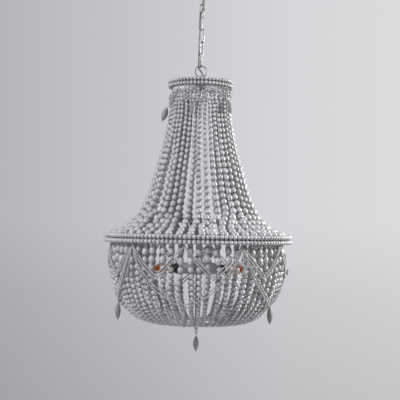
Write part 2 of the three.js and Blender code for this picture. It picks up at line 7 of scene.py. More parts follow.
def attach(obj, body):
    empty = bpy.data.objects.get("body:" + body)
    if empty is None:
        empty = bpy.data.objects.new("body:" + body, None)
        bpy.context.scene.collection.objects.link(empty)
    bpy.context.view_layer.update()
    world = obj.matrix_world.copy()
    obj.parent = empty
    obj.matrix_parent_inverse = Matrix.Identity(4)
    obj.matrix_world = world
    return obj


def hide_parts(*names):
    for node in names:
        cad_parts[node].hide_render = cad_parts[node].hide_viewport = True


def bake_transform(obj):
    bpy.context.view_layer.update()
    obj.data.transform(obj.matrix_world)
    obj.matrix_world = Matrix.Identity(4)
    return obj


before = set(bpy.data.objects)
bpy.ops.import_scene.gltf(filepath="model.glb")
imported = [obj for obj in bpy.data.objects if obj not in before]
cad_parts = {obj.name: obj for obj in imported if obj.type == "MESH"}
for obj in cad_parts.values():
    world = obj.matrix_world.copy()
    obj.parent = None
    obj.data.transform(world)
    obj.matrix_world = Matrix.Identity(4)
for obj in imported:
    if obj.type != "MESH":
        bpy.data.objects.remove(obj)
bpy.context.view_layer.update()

# The chandelier is in millimetres and is drawn in metres; camera, stage and lamps are in metres
MM = 0.001
# Strands come in panels; azimuths are in degrees from the front and grow towards the right
PANELS = 5
PANEL_TURN = 72.0
PANEL_START = -8.0

# Camera, just above the height of the hoop, tilted up and turned a little about its own axis
CAMERA_PLACE = (0.0046, -3.0, -0.81)
CAMERA_PITCH = 91.65
CAMERA_ROLL = 1.05
CAMERA_LENS = 84.6
SENSOR_WIDTH = 36

# Stage: where the wall and the floor are, and their paint
WALL_Y = 4.5
FLOOR_Z = -2.3
STAGE_HALF = 9.0
WALL_TOP = 5.0
WALL_PAINT = (0.62, 0.62, 0.64)
FLOOR_PAINT = (0.45, 0.45, 0.46)
PAINT_MOTTLE = 1.03
# Painted light and shade on the wall: its colours across it, lighter towards the key light, the shares
# of them up it, darker low down, and the stretch that each runs over
WALL_PAINTED_LIGHT_ACROSS = (
    (0.0, (0.46, 0.455, 0.485)), (0.35, (0.565, 0.56, 0.595)),
    (0.7, (0.68, 0.675, 0.7)), (1.0, (0.72, 0.72, 0.735)),
)
WALL_PAINTED_SHADE_UP = ((0.0, (0.78, 0.78, 0.78)), (0.35, (0.88, 0.88, 0.88)), (0.6, (1, 1, 1)))
WALL_WIDTH = (-1.7, 1.7)
WALL_HEIGHT = (-2.2, 0.2)

# Studio lamps: name, place, size, power and colour, all turned to one point
LAMPS_FACE = (0, 0, -0.75)
STUDIO_LAMPS = (
    ("key", (2.8, 0.3, 0.1), 0.4, 140, (1, 0.99, 0.97)),
    ("left", (-2.4, -2.3, 0.6), 1.6, 100, (0.96, 0.98, 1)),
)
# World, darker from below, and its colour where it is seen past the wall
WORLD_LOW = (0.2, 0.2, 0.21)
WORLD_HIGH = (0.95, 0.97, 1)
WORLD_SPAN = (-0.6, 0.8)
WORLD_STRENGTH = 0.72
WORLD_SEEN = (0.6, 0.6, 0.625, 1)

# Supply cord's route through the chain and the ring, then beside the stem
CORD_ROUTE = (
    (24, 0, -16), (21, 0, -24), (17.4, 0, -31), (17, 0, -40), (14, -3, -54), (9, -6.2, -68),
    (6.6, -7, -82), (5.6, -6.7, -96), (5, -5.8, -104), (0, 0, -117), (-5, 5.8, -130),
    (-5.6, 6.7, -139), (-6, 7, -155), (-6, 7, -195), (-6.4, 6.2, -220), (-7, 5.4, -245),
    (-7.2, 5.6, -290), (-6.2, 5.4, -301), (0, 0, -312), (4.8, -5.2, -321), (8.4, -6.4, -331),
    (8.4, -9.4, -338), (5, -12.2, -346), (0, -13, -354), (0, -13, -919.95),
)
CORD_RADIUS = 2.8
CORD_STEP = 1.5
CORD_SIDES = 16
# Depth from which it hangs straight
CORD_STRAIGHT = 420
# How far one length reaches into the next
CORD_LAP = 0.6
# The bodies down the chain, and the height of the joint below each
CHAIN = (
    ("ceiling_fitting", -60.2), ("link_1", -99.3), ("link_2", -139.0), ("link_3", -178.7),
    ("link_4", -218.4), ("link_5", -258.1), ("link_6", -297.8), ("ring", -329.9), ("chandelier", None),
)
# Heights where the cord's lengths start and end
CORD_CUTS = (-16, -80, -119, -159, -198.5, -238, -278, -312, -919.95)

# Strand lines: outer radius, height and bead size, from the top down
CONE_LINE = (
    (94.5, -369, 8.8), (95.7, -379.5, 9.2), (97.3, -420.8, 10.4), (101.5, -462, 11.8),
    (108.5, -497.4, 12.8), (116.4, -535.7, 13.6), (122.8, -564.4, 14.2), (130.8, -593.1, 14.8),
    (140.4, -621.8, 15.4), (148.3, -650.5, 16.2), (156.3, -679.2, 17), (165.9, -707.9, 18),
    (178.6, -736.6, 19.2), (188.2, -755.8, 20), (201, -774.9, 20.8), (220, -794, 21.4),
    (234, -804.6, 21.8), (252, -814, 22), (275, -822.4, 22), (281, -824.5, 22),
)
BASKET_LINE = (
    (272, -851, 15), (273.5, -866, 18), (277, -880, 20.6), (279.5, -900, 20.8), (280, -917, 20.4),
    (279.5, -931, 18.6), (274, -966, 17.8), (266, -995, 17.2), (251, -1033, 15.2), (238.5, -1056, 14),
    (217, -1078, 13.4), (201, -1092, 12.8), (185, -1102, 12.2), (163, -1110, 11.6), (140, -1114, 11),
    (108, -1117, 10), (96, -1117.9, 9.5),
)
# Steps of a smooth line between two rows of a table
LINE_STEPS = 6
# How long a bead is for its width, by height, and how much this differs from strand to strand
CONE_LENGTHS = ((-369, 1.2), (-500, 1.26), (-620, 1.26), (-700, 1.18), (-760, 1.12), (-830, 1.08))
BASKET_LENGTHS = ((-866, 1.15), (-880, 1.3), (-915, 1.3), (-935, 1.05), (-1030, 1.0), (-1120, 1.0))
LENGTH_SPREAD = 0.03
# Radius and height of the wire that strands are tied to, and how far below it beads may start
CONE_TIE = (91.2, -367.65)
BASKET_TIE = (267, -849.15)
TIE_RADIUS = 1.6
TIE_STEPS = 40
CONE_BARE = 7.0
BASKET_BARE = 1.5
CONE_STRANDS = 10
BASKET_STRANDS = 12
BASKET_SHIFT = 0.3
# How unevenly strands stand, in degrees
CONE_UNEVEN = 0.3
BASKET_UNEVEN = 0.4
# How much lower every second strand starts, and the most that chance adds to any, in beads
CONE_PHASE = (0.6, 0.5)
BASKET_PHASE = (0.12, 0.25)
# In the narrow part of the cone most strands stand side by side, every second one a little deeper
COLUMN_TURN = 9.0
COLUMN_STAGGER = 1.6
CROWD_HEIGHTS = (-376, -430, -760, -815)
# The rest slip behind them, at these azimuths of each panel
CONE_INNER = ((31.5, 49.5), (85.5, 112.5), (148.5, 202.5), (247.5, 265.5), (292.5, 333))
CONE_INNER_DEPTH = 15.0
# Partings between strands: azimuth, half width in degrees, top and foot heights
CONE_PARTINGS = (
    (-45.5, 4.4, -560, -815), (-13.5, 1.8, -560, -815), (-4.5, 1.8, -660, -815),
    (4.5, 1.5, -470, -815), (13.5, 1.6, -470, -815), (22.5, 0.8, -560, -815),
    (229.5, 2.6, -600, -815), (193.5, 2.0, -560, -815), (184.5, 2.0, -640, -815),
    (175.5, 1.8, -470, -815), (165.5, 2.0, -470, -815), (155, 0.8, -560, -815),
)
BASKET_PARTINGS = (
    (-23.8, 1.5, -866, -905), (14, 2.2, -866, -905), (24.5, 0.8, -866, -905),
    (-25, 2.2, -925, -975), (-9.3, 2.2, -965, -1040), (9.8, 0.8, -940, -1060),
)
# How far aside a parting is felt, in degrees, and half the heights in which it opens and closes
PARTING_REACH = 8.0
PARTING_TOP_FADE = 30
PARTING_FOOT_FADE = 15
# Depths below the ceiling between which the basket's strands come to lie unevenly far in
BASKET_LOOSE = (930, 1000)
BASKET_DEPTH_SPREAD = 1.6
# At the back the basket's strands spread out a little, and the ones beside them close up
BASKET_NOMINAL = (97.3, 151.3, 211.3, 247.3)
BASKET_SPREAD = (97.3, 142.8, 214, 247.3)

# Beads: spread of their sizes, tilt, how far apart their grains are, and the evenness of their tone
SIZE_SPREAD = 0.022
BEAD_TILT = 0.05
ROW_TILT = 0.03
LONE_TILT = 0.02
GRAIN_REACH = 900
TONE_SHAPE = 2.5
# Where a bead's dished ends are deepest and where the painted shade towards its ends starts, as shares
# of half its length
DISH_SHARE = 0.9
PAINTED_END_SHADE_SHARE = 0.66
# A last bead is threaded if its line goes on past its middle by this share of its length
LAST_BEAD_SHARE = 0.3
THREAD_RADIUS = 0.7
THREAD_SIDES = 5

# Closed rows of beads, in pairs: name, radius, bead size, count, middle height, half their distance
ROWS = (("crown", 98.75, 12.2, 54, -354.75, 6.4), ("hoop", 292.5, 14.2, 137, -846.25, 7.65))
ROW_THREAD_RADIUS = 0.8
ROW_THREAD_STEPS = 120

# Swags round the basket and the crown: their knots, low beads, sags and strings
KNOT_Z = -867.0
KNOT_TIE_Z = -848.0
KNOT_BEAD = 8.5
LOW_BEAD = 11
LOW_BEAD_HANG = 2
DEEP_SAG = 179.0
SHALLOW_SAG = 92.0
CROWN_KNOT_Z = -374.9
CROWN_TIE_Z = -368
CROWN_KNOT_BEAD = 8
CROWN_KNOTS = (-45, 20, 86, 171, 250, 315)
CROWN_SAGS = (41, 26, 41, 41, 50)
SWAG_BEAD = 6.3
SWAG_SPACE = 1.1
SWAG_TILT = 0.08
CROWN_SWAG_BEAD = 5.4
SWAG_STEPS = 60
# How far a swag stands off the strands, and how much less its knots do
SWAG_STAND = 2.6
KNOT_SINK = 0.5
KNOT_THREAD_RADIUS = 0.8
# Half the distance of a swag's strings, and how quickly they part from a knot
SWAG_SPREAD = 4.6
SWAG_OPENING = 2.2

# Oval drops: length, radius and length of thread
BASKET_OVAL = (54, 9, 2)
CROWN_OVAL = (48, 9.5, 4)
TASSEL_OVAL = (36, 6.5, 55)
FINIAL_OVAL = (50, 9.3, 1.5)
# Where the drops hang: lean, radius and height
BASKET_DROP_PLACE = (0, 250.3, -1049.2)
TASSEL_PLACE = (8, 283.3, -872.6)
CROWN_DROP_LEAN = 19
CROWN_DROP_PLACES = ((104.9, -419.1), (104.5, -404.1), (104.9, -419.1), (104.9, -419.1), (106, -428.1))
DROP_THREAD_RADIUS = 0.8
TASSEL_THREAD_RADIUS = 0.6
TASSEL_BEAD = 4.4
TASSEL_STRING = ((0, 0, -5), (0, 0, -20), (0, 0, -40), (0, 0, -55.5))
# An oval's fullness: how early it is widest, and how blunt it is
OVAL_EARLY = 0.94
OVAL_BLUNT = 0.82
OVAL_ROWS = 19
OVAL_SIDES = 26

# Finial: the wire through its beads, their heights and sizes, and the eyes that the drop hangs by
FINIAL_WIRE = ((0, 0, -1121.5), (0, 0, -1130), (0, 0, -1140), (0, 0, -1146.4))
FINIAL_BEADS = ((-1129.35, 16), (-1141.55, 9))
FINIAL_EYE_Z = -1148.45
FINIAL_HOOK_Z = -1151.55
FINIAL_EYE = (2.4, 1.4)
FINIAL_STALK = ((0, 0, -1153.6), (0, 0, -1155), (0, 0, -1157))
FINIAL_WIRE_RADIUS = 0.9

# Chain links: turn of each, middle of the first, pitch, corners' places and radius, wire and weld
LINK_TURNS = (90, 0, 90, 0, 50, 100)
LINK_TOP_Z = -77.4
LINK_PITCH = 39.7
LINK_ACROSS = 2.1
LINK_ALONG = 16.9
LINK_CORNER = 5.0
LINK_CORNER_STEPS = 8
LINK_RADIUS = 1.9
WELD_PLACES = (-1.8, -0.9, 0, 0.9, 1.8)
WELD_RADII = (2.15, 2.25, 2.15)
# Rings are given by radius, wire width and height, and a turn
RING = (18.1, 3.8, -311.8)

# Canopy cup, its loop, and the stem with its loop, as outlines of radius and height, and rings
CUP_OUTLINE = (
    (60, 0), (60, -6), (59.4, -12), (57.6, -18.5), (53.5, -25), (46, -30.5), (36, -33.8), (27, -35),
)
# The cup's inside, as shares of the outside's radius and height
CUP_HOLLOW = (58.6 / 60, 33.6 / 35)
CUP_FLOOR = ((12, -35), (4.3, -35), (4.3, -33.6), (12, -33.6))
LOOP_COLLAR = (
    (0, -35.3), (7.6, -35.3), (8, -35.8), (8, -38), (7.2, -38.6), (7.2, -39.4), (6.6, -40.6),
    (5, -41.6), (0, -42),
)
LOOP_STUD = ((0, -3.3), (3.6, -3.3), (4, -3.8), (4, -36), (0, -36))
LOOP_EYE = (9.5, 5, -50.7)
STEM_COLLAR = (
    (0, -341.5), (5.4, -342), (6.6, -342.8), (7, -343.6), (7, -346.4), (6.4, -347.2), (6.4, -347.7),
    (0, -347.7),
)
STEM_STUD = ((0, -347), (3.7, -347), (3.7, -361.6), (3.2, -362), (0, -362))
STEM_EYE = (8, 4, -333.7, 90)
STEM_WALL = ((5, -348), (5, -1118.75), (4, -1118.75), (4, -348))
# Edges that turn by more degrees than this are sharp
METAL_CREASE = 40

# Lamps: the core upright, the rest as outlines of radius and distance along level axes
LAMP_Z = -940.25
LAMP_TURNS = (-26, 94, 214)
LAMP_CORE = ((5.3, -920.6), (21, -920.25), (24, -923), (24, -957.5), (21, -960.25), (5.3, -960))
LAMP_CUP = (
    (0, 18), (17, 20), (18, 21.5), (18, 30), (17.4, 31), (17.4, 34), (18, 35), (18, 78.6), (17.4, 80),
    (14.4, 80), (13.8, 79.4), (13.8, 57.7), (0, 57.7),
)
# A holder's back, its ribs' radius, ends, pitch and depth, and its mouth
HOLDER_BACK = ((0, 58), (13, 58), (13.5, 58.6))
HOLDER_RIBS = (13.5, 80.6, 96, 2.2, 0.7)
HOLDER_MOUTH = (
    (13.5, 97), (13.3, 100.4), (12.6, 101), (8.4, 101), (7.6, 100.4), (7.6, 75), (0, 75),
)
# A bulb's glass, the screw cap with its ribs, and the foil inside
GLASS_FOOT = (0, 101.4)
GLASS_TIP = (0, 176.3)
GLASS_OUTLINE = (
    (8.6, 101.4), (11.5, 104.5), (14.6, 111.5), (16.9, 120), (17.5, 127), (16.8, 136), (14.2, 147),
    (10.6, 157.5), (6.4, 167), (3.2, 173), (1.3, 175.6),
)
CAP_BACK = ((0, 77.4), (3, 77.8), (6, 79))
CAP_RIBS = (7, 79.6, 98, 2.4, 0.7)
CAP_MOUTH = ((7, 98.6), (8.2, 100.6), (8.2, 101.4), (0, 101.4))
FOIL_OUTLINE = ((0, 112), (5.4, 113), (8.6, 120), (9.4, 128), (7.6, 140), (4.2, 152), (0, 158))
RIB_FLAT_SHARES = (0.25, 0.75)
LAMP_CREASE = 35
BULB_CREASE = 50
# The stretch over which the glass deepens in colour, in metres
GLASS_SPAN = (0.105, 0.15)

# Softened edges, in metres and steps
EDGE_WIDTH = 0.0004
EDGE_SEGMENTS = 2

rng = np.random.default_rng(4809)


# Camera
def make_camera():
    data = bpy.data.cameras.new("camera")
    data.lens = CAMERA_LENS
    data.sensor_width = SENSOR_WIDTH
    camera = link_object("camera", data)
    pitch = Matrix.Rotation(math.radians(CAMERA_PITCH), 4, "X")
    roll = Matrix.Rotation(math.radians(CAMERA_ROLL), 4, "Z")
    camera.matrix_world = Matrix.Translation(CAMERA_PLACE) @ pitch @ roll
    bpy.context.scene.camera = camera


# Shapes are points, faces of four and of three corners, and the coordinates that the grain follows
class Shape:
    def __init__(self, points, quads, tris, grain=None):
        self.points = np.asarray(points, float).reshape(-1, 3)
        self.quads = np.asarray(quads, int).reshape(-1, 4)
        self.tris = np.asarray(tris, int).reshape(-1, 3)
        self.grain = self.points.copy() if grain is None else np.asarray(grain, float).reshape(-1, 3)
        self.tone = np.full(len(self.points), 0.5)

    def moved(self, x=0.0, y=0.0, z=0.0):
        self.points = self.points + np.array([x, y, z])
        return self

    def turned(self, degrees, axis="Z"):
        turn = np.array(Matrix.Rotation(math.radians(degrees), 3, axis))
        self.points = self.points @ turn.T
        return self


def join(shapes):
    quads, tris, start = [], [], 0
    for shape in shapes:
        quads.append(shape.quads + start)
        tris.append(shape.tris + start)
        start += len(shape.points)
    whole = Shape(
        np.concatenate([s.points for s in shapes]),
        np.concatenate(quads),
        np.concatenate(tris),
        np.concatenate([s.grain for s in shapes]),
    )
    whole.tone = np.concatenate([s.tone for s in shapes])
    return whole


# A body turned round Z, its outline closed or ending on the axis; faces look outwards if it runs down
def lathe(outline, sides, closed=False):
    rows = [(r, z) for r, z in outline if r > 0]
    angles = np.arange(sides) * 2 * np.pi / sides
    rings = np.array([[(r * np.cos(a), r * np.sin(a), z) for a in angles] for r, z in rows])
    count = len(rows)
    quads = []
    for i in range(count if closed else count - 1):
        a = i * sides + np.arange(sides)
        b = ((i + 1) % count) * sides + np.arange(sides)
        quads.append(np.stack([a, b, np.roll(b, -1), np.roll(a, -1)], axis=1))
    points = [rings.reshape(-1, 3)]
    tris = []
    around = np.arange(sides)
    for end, (r, z) in ((0, outline[0]), (count - 1, outline[-1])):
        if closed or r > 0:
            continue
        pole = count * sides + len(tris)
        ring = end * sides + around
        pair = [ring, np.roll(ring, -1)] if end == 0 else [np.roll(ring, -1), ring]
        tris.append(np.stack([np.full(sides, pole), *pair], axis=1))
        points.append(np.array([[0, 0, z]]))
    return Shape(np.concatenate(points), np.concatenate(quads), np.concatenate(tris) if tris else [])


# Points closer together along a smooth curve through the given ones
def smooth(points, steps):
    points = np.asarray(points, float)
    padded = np.vstack([2 * points[0] - points[1], points, 2 * points[-1] - points[-2]])
    share = (np.arange(steps) / steps)[:, None]
    pieces = []
    for i in range(1, len(padded) - 2):
        p0, p1, p2, p3 = padded[i - 1:i + 3]
        pieces.append(0.5 * (2 * p1 + (p2 - p0) * share + (2 * p0 - 5 * p1 + 4 * p2 - p3) * share**2
                             + (3 * p1 - p0 - 3 * p2 + p3) * share**3))
    return np.vstack([*pieces, points[-1:]])


def lengths(points):
    return np.concatenate([[0], np.cumsum(np.linalg.norm(np.diff(points, axis=0), axis=1))])


def directions(points, closed=False):
    if closed:
        along = np.roll(points, -1, axis=0) - np.roll(points, 1, axis=0)
    else:
        along = np.gradient(points, axis=0)
    return along / np.linalg.norm(along, axis=1, keepdims=True)


# A round wire through points, with a radius at each and ends that are closed
def tube(points, radii, sides, closed=False):
    points = np.asarray(points, float)
    along = directions(points, closed)
    radii = np.broadcast_to(radii, len(points))
    side = np.zeros_like(points)
    normal = np.cross(along[0], (0.3, 0.2, 1) if abs(along[0][2]) < 0.9 else (0, 1, 0))
    for i, direction in enumerate(along):
        normal = normal - direction * (normal @ direction)
        normal /= np.linalg.norm(normal)
        side[i] = normal
    other = np.cross(along, side)
    angles = np.arange(sides) * 2 * np.pi / sides
    rings = (points[:, None] + radii[:, None, None] * (
        side[:, None] * np.cos(angles)[None, :, None] + other[:, None] * np.sin(angles)[None, :, None]))
    count = len(points)
    a = (np.arange(count if closed else count - 1)[:, None] * sides + np.arange(sides)).reshape(-1)
    turn = np.roll(np.arange(count * sides).reshape(count, sides), -1, axis=1).reshape(-1)
    b = (a + sides) % (count * sides)
    quads = np.stack([a, turn[a], turn[b], b], axis=1)
    run = lengths(points)
    grain = np.stack([
        np.repeat(radii, sides) * np.tile(np.cos(angles), count),
        np.repeat(radii, sides) * np.tile(np.sin(angles), count),
        np.repeat(run, sides),
    ], axis=1)
    tris = []
    vertices = rings.reshape(-1, 3)
    if not closed:
        last = (count - 1) * sides
        ring = np.arange(sides)
        centre = count * sides
        tris = np.concatenate([
            np.stack([np.full(sides, centre), np.roll(ring, -1), ring], axis=1),
            np.stack([np.full(sides, centre + 1), last + ring, last + np.roll(ring, -1)], axis=1),
        ])
        vertices = np.vstack([vertices, points[0], points[-1]])
        grain = np.vstack([grain, [0, 0, 0], [0, 0, run[-1]]])
    return Shape(vertices, quads, tris, grain)


def circle(radius, steps, start=0.0, end=360.0):
    whole = abs(end - start - 360) < 1e-6
    angles = np.radians(start + (end - start) * np.arange(steps) / (steps if whole else steps - 1))
    return np.stack([radius * np.cos(angles), radius * np.sin(angles), np.zeros(steps)], axis=1)


# A wire ring that stands upright, turned round Z
def eye(radius, wire, z, turn=0.0, steps=56, sides=14):
    ring = circle(radius, steps)[:, [0, 2, 1]]
    return tube(ring, wire / 2, sides, closed=True).turned(turn).moved(z=z)


# Beads: a round body with a dished hole at each end, darkened near the holes by painted shade where
# beads touch
def bead_shape(sides, angles, hole):
    rim = math.sqrt(1 - hole**2)
    rows = [(0, DISH_SHARE), (hole, rim)]
    rows += [(math.sin(math.radians(a)), math.cos(math.radians(a))) for a in angles]
    rows += [(hole, -rim), (0, -DISH_SHARE)]
    return lathe(rows, sides)


LARGE_BEAD = bead_shape(sides=14, angles=(30, 50, 70, 90, 110, 130, 150), hole=0.17)
SMALL_BEAD = bead_shape(sides=9, angles=(50, 90, 130), hole=0.3)


# Copies of one bead at places, each with its axis along a direction, its own turn, tone and grain, and
# painted shade towards its ends
def beads(template, places, axes, sizes, tilt, long=1.0):
    count, per = len(places), len(template.points)
    sizes = np.broadcast_to(sizes, count) * (1 + rng.normal(0, SIZE_SPREAD, count))
    axes = axes + rng.normal(0, tilt, (count, 3))
    axes = axes / np.linalg.norm(axes, axis=1, keepdims=True)
    side = np.cross(axes, rng.normal(0, 1, (count, 3)))
    side /= np.linalg.norm(side, axis=1, keepdims=True)
    frames = np.stack([side, np.cross(axes, side), axes], axis=2)
    form = np.stack([np.ones(count), np.ones(count), np.broadcast_to(long, count)], axis=1)
    local = template.points[None] * (sizes[:, None, None] / 2) * form[:, None]
    points = places[:, None] + np.einsum("nij,nkj->nki", frames, local)
    grain = local + rng.uniform(0, GRAIN_REACH, (count, 1, 3))
    starts = np.arange(count)[:, None, None] * per
    shape = Shape(points, template.quads[None] + starts, template.tris[None] + starts, grain)
    # Painted shade: the tone falls towards each bead's ends, where beads touch
    painted_end_shade = np.clip((np.abs(template.points[:, 2]) - PAINTED_END_SHADE_SHARE) / (1 - PAINTED_END_SHADE_SHARE), 0, 1)
    shape.tone = (rng.beta(TONE_SHAPE, TONE_SHAPE, count)[:, None] - painted_end_shade).ravel()
    return shape


# Beads threaded along a line, with a size and a length share that may change on the way
def threaded(template, line, size_at, start=0.0, tilt=BEAD_TILT, long_at=lambda run: 1.0, space=1.0):
    run = lengths(line)

    def pitch_at(at):
        return size_at(at) * long_at(at) * space

    stops, at = [], start + pitch_at(start) / 2
    while at + pitch_at(at) * LAST_BEAD_SHARE < run[-1]:
        stops.append(at)
        at += (pitch_at(at) + pitch_at(at + pitch_at(at) / 2)) / 2
    stops = np.array(stops)
    room = run[-1] - pitch_at(run[-1]) / 2 - stops[-1]
    stops = stops + room * (stops - start) / (stops[-1] - start)
    places = np.stack([np.interp(stops, run, line[:, k]) for k in range(3)], axis=1)
    along = directions(line)
    axes = np.stack([np.interp(stops, run, along[:, k]) for k in range(3)], axis=1)
    sizes = np.array([size_at(s) for s in stops])
    return beads(template, places, axes, sizes, tilt, np.array([long_at(s) for s in stops]))


# Pieces: the body each moves with, the plain parts it stands for and its paint slot
def link_object(name, data):
    made = bpy.data.objects.new(name, data)
    bpy.context.scene.collection.objects.link(made)
    return made


def piece(name, parts, body, nodes, sharp=None):
    shapes = [shape for _, shapes in parts for shape in shapes]
    whole = join(shapes)
    mesh = bpy.data.meshes.new(name)
    mesh.vertices.add(len(whole.points))
    mesh.vertices.foreach_set("co", (whole.points * MM).astype(np.float32).ravel())
    corners = np.concatenate([whole.quads.ravel(), whole.tris.ravel()]).astype(np.int32)
    fours, threes = len(whole.quads), len(whole.tris)
    starts = np.concatenate([np.arange(fours) * 4, fours * 4 + np.arange(threes) * 3]).astype(np.int32)
    mesh.loops.add(len(corners))
    mesh.loops.foreach_set("vertex_index", corners)
    mesh.polygons.add(len(starts))
    mesh.polygons.foreach_set("loop_start", starts)
    fours_of = [np.full(len(s.quads), i) for i, (_, shapes) in enumerate(parts) for s in shapes]
    threes_of = [np.full(len(s.tris), i) for i, (_, shapes) in enumerate(parts) for s in shapes]
    mesh.polygons.foreach_set("material_index", np.concatenate(fours_of + threes_of).astype(np.int32))
    mesh.polygons.foreach_set("use_smooth", np.ones(len(starts), bool))
    mesh.update(calc_edges=True)
    grain = mesh.attributes.new("grain", "FLOAT_VECTOR", "POINT")
    grain.data.foreach_set("vector", (whole.grain * MM).astype(np.float32).ravel())
    tone = mesh.attributes.new("tone", "FLOAT", "POINT")
    tone.data.foreach_set("value", whole.tone.astype(np.float32))
    if sharp:
        mesh.set_sharp_from_angle(angle=math.radians(sharp))
    for material, _ in parts:
        mesh.materials.append(material)
    made = link_object(name, mesh)
    if body:
        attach(made, body)
    if nodes:
        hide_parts(*nodes)
    return made


# Materials
def node(tree, kind, inputs=None, **settings):
    made = tree.nodes.new(kind)
    for key, value in settings.items():
        setattr(made, key, value)
    for key, value in (inputs or {}).items():
        if hasattr(value, "links"):
            tree.links.new(value, made.inputs[key])
        else:
            made.inputs[key].default_value = value
    return made


def new_material(name, **values):
    material = bpy.data.materials.new(name)
    material.use_nodes = True
    tree = material.node_tree
    shader = tree.nodes["Principled BSDF"]
    for key, value in values.items():
        shader.inputs[key.replace("_", " ")].default_value = value
    return material, tree, shader


def ramp(tree, factor, *stops):
    made = node(tree, "ShaderNodeValToRGB", {"Fac": factor})
    made.color_ramp.elements.remove(made.color_ramp.elements[1])
    for i, (place, colour) in enumerate(stops):
        spot = made.color_ramp.elements[0] if i == 0 else made.color_ramp.elements.new(place)
        spot.position = place
        spot.color = (*colour, 1)
    return made.outputs["Color"]


def noise(tree, vector, scale, detail, roughness=0.55):
    inputs = {"Vector": vector, "Scale": scale, "Detail": detail, "Roughness": roughness}
    return node(tree, "ShaderNodeTexNoise", inputs).outputs["Fac"]


def stretched(tree, vector, factors):
    made = node(tree, "ShaderNodeVectorMath", {0: vector}, operation="MULTIPLY")
    made.inputs[1].default_value = factors
    return made.outputs["Vector"]


def ranged(tree, value, low, high, start=0.0, end=1.0):
    inputs = {"Value": value, "From Min": start, "From Max": end, "To Min": low, "To Max": high}
    return node(tree, "ShaderNodeMapRange", inputs).outputs["Result"]


def mixed(tree, factor, first, second, blend="MIX"):
    made = node(tree, "ShaderNodeMix", data_type="RGBA", blend_type=blend)
    sockets = [s for s in made.inputs if s.type in ("RGBA", "VALUE") and s.enabled]
    for key, value in (("Factor", factor), ("A", first), ("B", second)):
        socket = [s for s in sockets if s.name == key][0]
        if hasattr(value, "links"):
            tree.links.new(value, socket)
        else:
            socket.default_value = value
    return [s for s in made.outputs if s.enabled][0]


def bump(tree, shader, height, strength, distance):
    made = node(tree, "ShaderNodeBump", {"Height": height, "Strength": strength, "Distance": distance})
    tree.links.new(made.outputs["Normal"], shader.inputs["Normal"])


def attribute(tree, name, output):
    return node(tree, "ShaderNodeAttribute", attribute_name=name).outputs[output]


def object_place(tree):
    return node(tree, "ShaderNodeTexCoord").outputs["Object"]


# Grey washed wood, with a tone and a grain of its own on each bead; the same attribute carries the
# painted shade at the bead ends
def make_wood(name, dark, middle, pale, fine, roughness):
    material, tree, shader = new_material(name, Specular_IOR_Level=0.75)
    grain = attribute(tree, "grain", "Vector")
    tone = attribute(tree, "tone", "Fac")
    streaks = noise(tree, stretched(tree, grain, fine), scale=1.0, detail=4.0, roughness=0.65)
    blotches = noise(tree, grain, scale=130.0, detail=2.0)
    colour = ramp(tree, streaks, (0.32, dark), (0.5, middle), (0.7, pale))
    cover = ranged(tree, blotches, low=0.0, high=0.5, start=0.45, end=0.75)
    wash = mixed(tree, cover, colour, (*pale, 1))
    # Lightness from each bead's random tone, lowered by the painted shade at its ends
    light = ranged(tree, tone, low=0.56, high=1.16, start=-1.0, end=1.0)
    toned = node(tree, "ShaderNodeHueSaturation", {"Color": wash, "Value": light})
    tree.links.new(toned.outputs["Color"], shader.inputs["Base Color"])
    tree.links.new(ranged(tree, streaks, *roughness), shader.inputs["Roughness"])
    bump(tree, shader, streaks, strength=0.35, distance=0.00025)
    return material


# Satin metal with fine scratches
def make_metal(name, colour, dull, roughness):
    material, tree, shader = new_material(name, Metallic=0.85)
    place = object_place(tree)
    clouds = noise(tree, place, scale=90.0, detail=3.0)
    fine = stretched(tree, place, (400.0, 400.0, 2400.0))
    scratches = noise(tree, fine, scale=1.0, detail=3.0, roughness=0.7)
    tree.links.new(ramp(tree, clouds, (0.35, dull), (0.65, colour)), shader.inputs["Base Color"])
    tree.links.new(ranged(tree, scratches, *roughness, start=0.3, end=0.7), shader.inputs["Roughness"])
    bump(tree, shader, scratches, strength=0.12, distance=0.0001)
    return material


# Matt paint or plastic with a faint orange-peel skin and dust
def make_paint(name, colour, dust, roughness, metallic=0.0):
    material, tree, shader = new_material(name, Metallic=metallic)
    place = object_place(tree)
    clouds = noise(tree, place, scale=45.0, detail=4.0)
    peel = noise(tree, place, scale=900.0, detail=2.0)
    tree.links.new(ramp(tree, clouds, (0.4, colour), (0.75, dust)), shader.inputs["Base Color"])
    tree.links.new(ranged(tree, clouds, *roughness), shader.inputs["Roughness"])
    bump(tree, shader, peel, strength=0.2, distance=0.0001)
    return material


# Braided cover of the cord, and the strands' thread
def make_braid(name, dark, pale):
    material, tree, shader = new_material(name, Roughness=0.75)
    grain = attribute(tree, "grain", "Vector")
    twist = noise(tree, stretched(tree, grain, (900.0, 900.0, 500.0)), scale=1.0, detail=2.0)
    weave = {"Vector": grain, "Scale": 260.0, "Distortion": 1.5}
    bands = node(tree, "ShaderNodeTexWave", weave, bands_direction="Z")
    threads = mixed(tree, 0.5, bands.outputs["Color"], twist)
    tree.links.new(ramp(tree, threads, (0.25, dark), (0.75, pale)), shader.inputs["Base Color"])
    bump(tree, shader, threads, strength=0.5, distance=0.0003)
    return material


